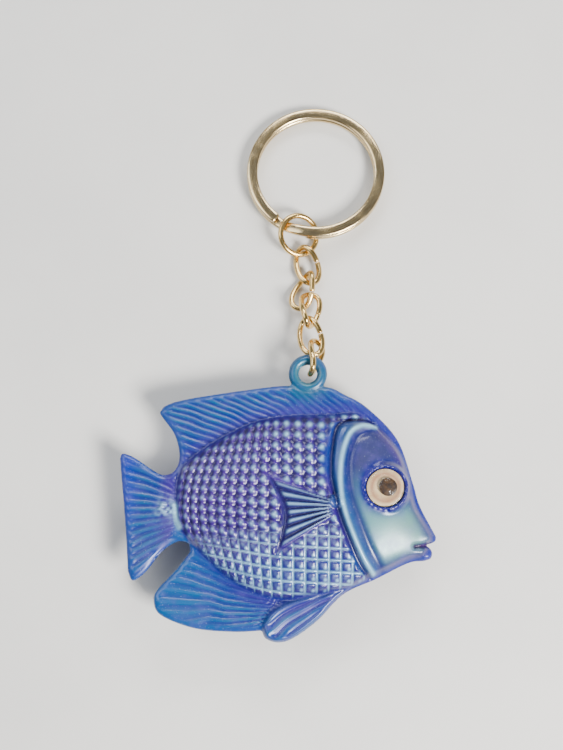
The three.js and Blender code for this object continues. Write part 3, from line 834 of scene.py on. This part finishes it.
def build_fish():
    """The two moulded halves, and where the fish's own origin is in the frame (in millimetres)."""
    low, high = (np.array(corner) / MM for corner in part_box("eye_backing_right"))
    eye_middle = (low + high) / 2
    origin = np.array([*(eye_middle[:2] - EYE_CENTRE), HALF_THICKNESS])
    points, solid, tint, painted_light = relief()
    plastic = fish_plastic()
    for side, name in ((1, "right"), (-1, "left")):
        verts, faces = half_mesh(points, solid, side)
        # The second attribute carries the painted highlights and painted shade
        paint = {"tint": np.vstack([tint[solid]] * 2), "painted_light": np.vstack([painted_light[solid]] * 2)}
        half = mesh_object(f"fish_half_{name}", (verts + origin) * MM, faces, plastic, paint)
        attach(half, "fish")
        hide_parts(f"body_shell_{name}")
    return origin


# ---------------------------------------------------------------- googly eyes

BACKING_FLOOR = 3.63
FLANGE_FLOOR = 4.16
EYE_RADIUS = 3.1
BACKING_THICKNESS = 0.5
FLANGE_THICKNESS = 0.3
DOME_RADIUS, DOME_HEIGHT, DOME_WALL = 2.35, 1.55, 0.3
PUPIL_RADIUS, PUPIL_THICKNESS, PUPIL_BEVEL = 1.5, 0.5, 0.1
PUPIL_OFFSET = (0.4, 0.1)
EDGE_SOFTENING, PUPIL_SOFTENING = 0.08, 0.03
CARD_DIP, CARD_DIP_RADII = 0.03, (2.5, 2.3, 1.2)
# Width of the painted shade ring at the clear cap's edge
DOME_EDGE_SHADE_WIDTH = 0.25


def arc(radius, height, lift, steps=18):
    angle = np.linspace(0, math.pi / 2, steps + 1)
    points = np.column_stack([radius * np.cos(angle), height * np.sin(angle) + lift])
    points[-1, 0] = 0
    return [tuple(point) for point in points]


def eye_profiles():
    """Profiles of the backing card, the loose pupil and the clear cap, each from the axis back to it."""
    card_top, dip_floor = BACKING_THICKNESS, BACKING_THICKNESS - CARD_DIP
    dip_start, dip_end, dip_middle = CARD_DIP_RADII
    soft = EYE_RADIUS - EDGE_SOFTENING
    backing = [(0, 0), (EYE_RADIUS, 0), (EYE_RADIUS, card_top - EDGE_SOFTENING), (soft, card_top),
               (dip_start, card_top), (dip_end, dip_floor), (dip_middle, dip_floor), (0, dip_floor)]
    flat, wall = PUPIL_RADIUS - PUPIL_BEVEL, PUPIL_THICKNESS - PUPIL_BEVEL
    corner = (PUPIL_RADIUS - PUPIL_SOFTENING, PUPIL_THICKNESS - PUPIL_SOFTENING)
    pupil = [(0, 0), (flat, 0), (PUPIL_RADIUS, PUPIL_BEVEL), (PUPIL_RADIUS, wall), corner,
             (flat, PUPIL_THICKNESS), (0, PUPIL_THICKNESS)]
    inside_arc = arc(DOME_RADIUS - DOME_WALL, DOME_HEIGHT - DOME_WALL + FLANGE_THICKNESS, 0)
    outside_arc = arc(DOME_RADIUS, DOME_HEIGHT, FLANGE_THICKNESS)
    rim = [(EYE_RADIUS, 0), (EYE_RADIUS, FLANGE_THICKNESS - EDGE_SOFTENING), (soft, FLANGE_THICKNESS)]
    return backing, pupil, inside_arc[::-1] + rim + outside_arc


def build_eyes(origin):
    backing, pupil, dome = eye_profiles()
    kinds = [
        ("eye_backing", backing, BACKING_FLOOR, (0, 0), eye_cream(), "eye_white"),
        ("eye_pupil", pupil, FLANGE_FLOOR, PUPIL_OFFSET, eye_dark(), "eye_black"),
        ("eye_dome", dome, FLANGE_FLOOR, (0, 0), eye_clear(), "eye_clear"),
    ]
    for side, label in ((1, "right"), (-1, "left")):
        for node, profile, floor, offset, material, slot in kinds:
            verts, faces = lathe(profile)
            radius = np.hypot(verts[:, 0], verts[:, 1])
            # Painted shade: a ring at the clear cap's edge, which the card's material darkens
            dome_edge_shade = bump(radius - DOME_RADIUS, DOME_EDGE_SHADE_WIDTH)
            painted_light = np.column_stack([dome_edge_shade, dome_edge_shade * 0, dome_edge_shade * 0, dome_edge_shade * 0 + 1])
            verts = verts + (*(EYE_CENTRE + offset), floor)
            verts[:, 2] *= side
            if side < 0:
                faces = [face[::-1] for face in faces]
            body = f"pupil_{label}" if node == "eye_pupil" else "fish"
            placed = (verts + origin) * MM
            piece = mesh_object(f"{node}_{label}_turned", placed, faces, material, {"painted_light": painted_light})
            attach(piece, body)
            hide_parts(f"{node}_{label}")


# ---------------------------------------------------------------- floor, light and camera

FLOOR_HALF, FLOOR_DEPTH = 0.5, 0.06
WORLD_TINT, WORLD_STRENGTH = (0.8, 0.83, 0.88, 1), 0.24
LENS, SENSOR_WIDTH, CLIP_START = 48, 36, 0.01
CAMERA_PLACE = (0.000767, -0.029772, 0.176)
CAMERA_TILT_DEG = 9


def build_floor():
    corners = [(x * FLOOR_HALF, y * FLOOR_HALF) for x, y in ((-1, -1), (1, -1), (1, 1), (-1, 1))]
    verts = [(x, y, z) for z in (-FLOOR_DEPTH, 0) for x, y in corners]
    faces = [(3, 2, 1, 0), (4, 5, 6, 7), (0, 1, 5, 4), (1, 2, 6, 5), (2, 3, 7, 6), (3, 0, 4, 7)]
    floor = mesh_object("studio_floor", verts, faces, floor_paint())
    floor.data.polygons.foreach_set("use_smooth", np.zeros(len(faces), bool))


def area_light(name, place, size, power, tint):
    lamp = bpy.data.lights.new(name, "AREA")
    lamp.shape = "RECTANGLE"
    lamp.size, lamp.size_y = size
    lamp.energy = power
    lamp.color = tint
    obj = bpy.data.objects.new(name, lamp)
    bpy.context.scene.collection.objects.link(obj)
    obj.location = place
    obj.rotation_euler = (-obj.location).to_track_quat("-Z", "Y").to_euler()


def build_lights():
    area_light("key_light", (0.22, -0.2, 0.3), (0.14, 0.14), 4.4, (1.0, 0.97, 0.92))
    area_light("fill_light", (-0.3, 0.12, 0.35), (0.36, 0.36), 1.5, (0.92, 0.96, 1.0))
    area_light("rim_light", (0.05, 0.35, 0.25), (0.3, 0.1), 1.2, (1.0, 1.0, 1.0))
    world = bpy.data.worlds.new("soft_grey")
    world.use_nodes = True
    sky = world.node_tree.nodes["Background"]
    sky.inputs["Color"].default_value = WORLD_TINT
    sky.inputs["Strength"].default_value = WORLD_STRENGTH
    bpy.context.scene.world = world


def build_camera():
    lens = bpy.data.cameras.new("camera")
    lens.lens = LENS
    lens.sensor_width = SENSOR_WIDTH
    lens.clip_start = CLIP_START
    camera = bpy.data.objects.new("camera", lens)
    bpy.context.scene.collection.objects.link(camera)
    camera.location = CAMERA_PLACE
    camera.rotation_euler = (math.radians(CAMERA_TILT_DEG), 0, 0)
    bpy.context.scene.camera = camera


build_metal()
build_eyes(build_fish())
build_floor()
build_lights()
build_camera()
